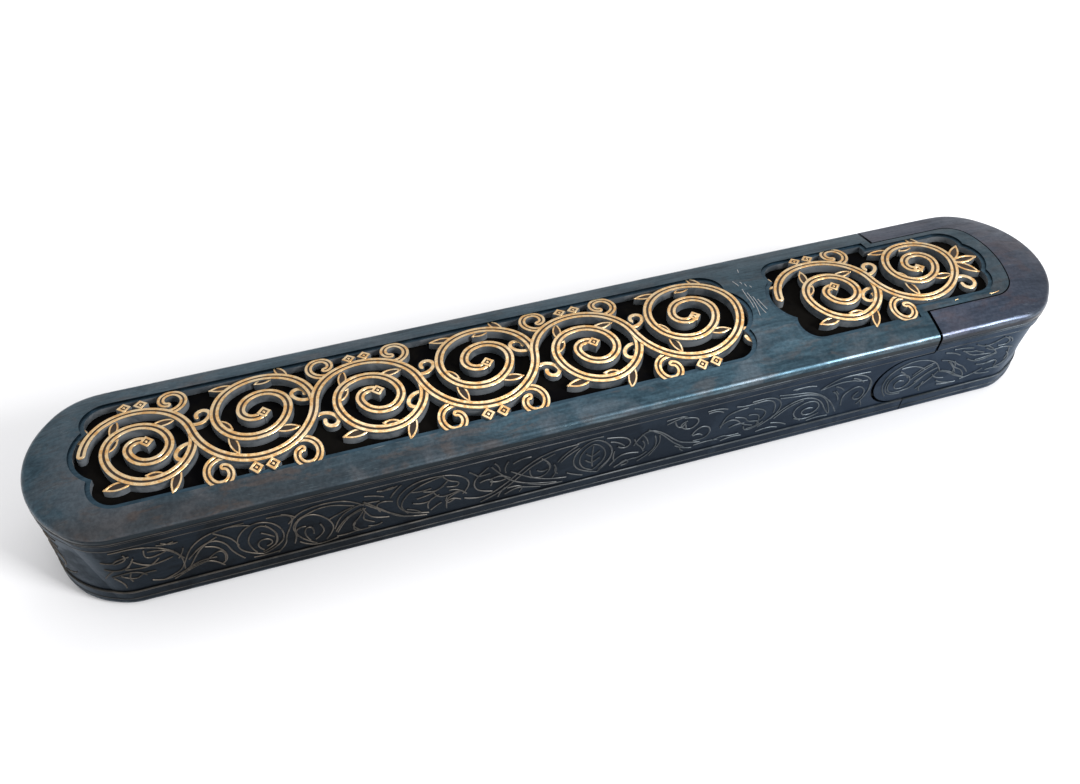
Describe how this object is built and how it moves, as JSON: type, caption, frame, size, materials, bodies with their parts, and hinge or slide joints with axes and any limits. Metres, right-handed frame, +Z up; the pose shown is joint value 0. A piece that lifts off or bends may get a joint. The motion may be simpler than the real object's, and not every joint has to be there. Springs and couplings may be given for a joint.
{
  "type": "pen box",
  "caption": "Long steel pen box with rounded ends and a gently cambered top, lobed windows of pierced scrollwork, and a sliding drawer that holds pens and an ink pot with a swivel lid.",
  "frame": {"origin": "middle of the underside", "axes": "+X along the box towards the drawer end, +Y across it, +Z up"},
  "size_m": [0.2398, 0.0404, 0.0306],
  "materials": {
    "sleeve_steel": "heat-blued, worn and streaked, satin",
    "drawer_steel": "heat-blued, worn to grey and purple, satin",
    "openwork_steel": "pierced steel, worn blue-grey",
    "blackened_steel": "blackened, matt",
    "tray_steel": "bare iron, dull",
    "aged_brass": "aged, satin",
    "gold_inlay": "worn gold inlay",
    "relief_steel": "grey relief lines, worn",
    "pad_leather": "dark, matt"
  },
  "bodies": {
    "sleeve": {"top_plate": "sleeve_steel", "case_walls": "sleeve_steel", "base_plate": "sleeve_steel", "long_openwork": "openwork_steel", "short_openwork": "openwork_steel", "long_backing": "blackened_steel", "short_backing": "blackened_steel"},
    "tray": {"cap_top": "drawer_steel", "cap_walls": "drawer_steel", "cap_base": "drawer_steel", "tray_pan": "tray_steel", "cross_wall": "tray_steel", "pot_deck": "tray_steel", "ink_pot": "aged_brass", "pot_collar": "aged_brass", "lid_pin": "aged_brass", "lid_washer": "aged_brass"},
    "pot_lid": {"ink_lid": "aged_brass", "lid_knob": "aged_brass", "lid_pad": "pad_leather"}
  },
  "joints": [
    {"name": "tray_slide", "type": "slide", "parent": "sleeve", "child": "tray", "axis": [1, 0, 0], "range_m": [0, 0.226]},
    {"name": "lid_swivel", "type": "hinge", "parent": "tray", "child": "pot_lid", "pos_m": [0.087, 0, 0.0232], "axis": [0, 0, 1], "range_deg": [0, 120]}
  ]
}
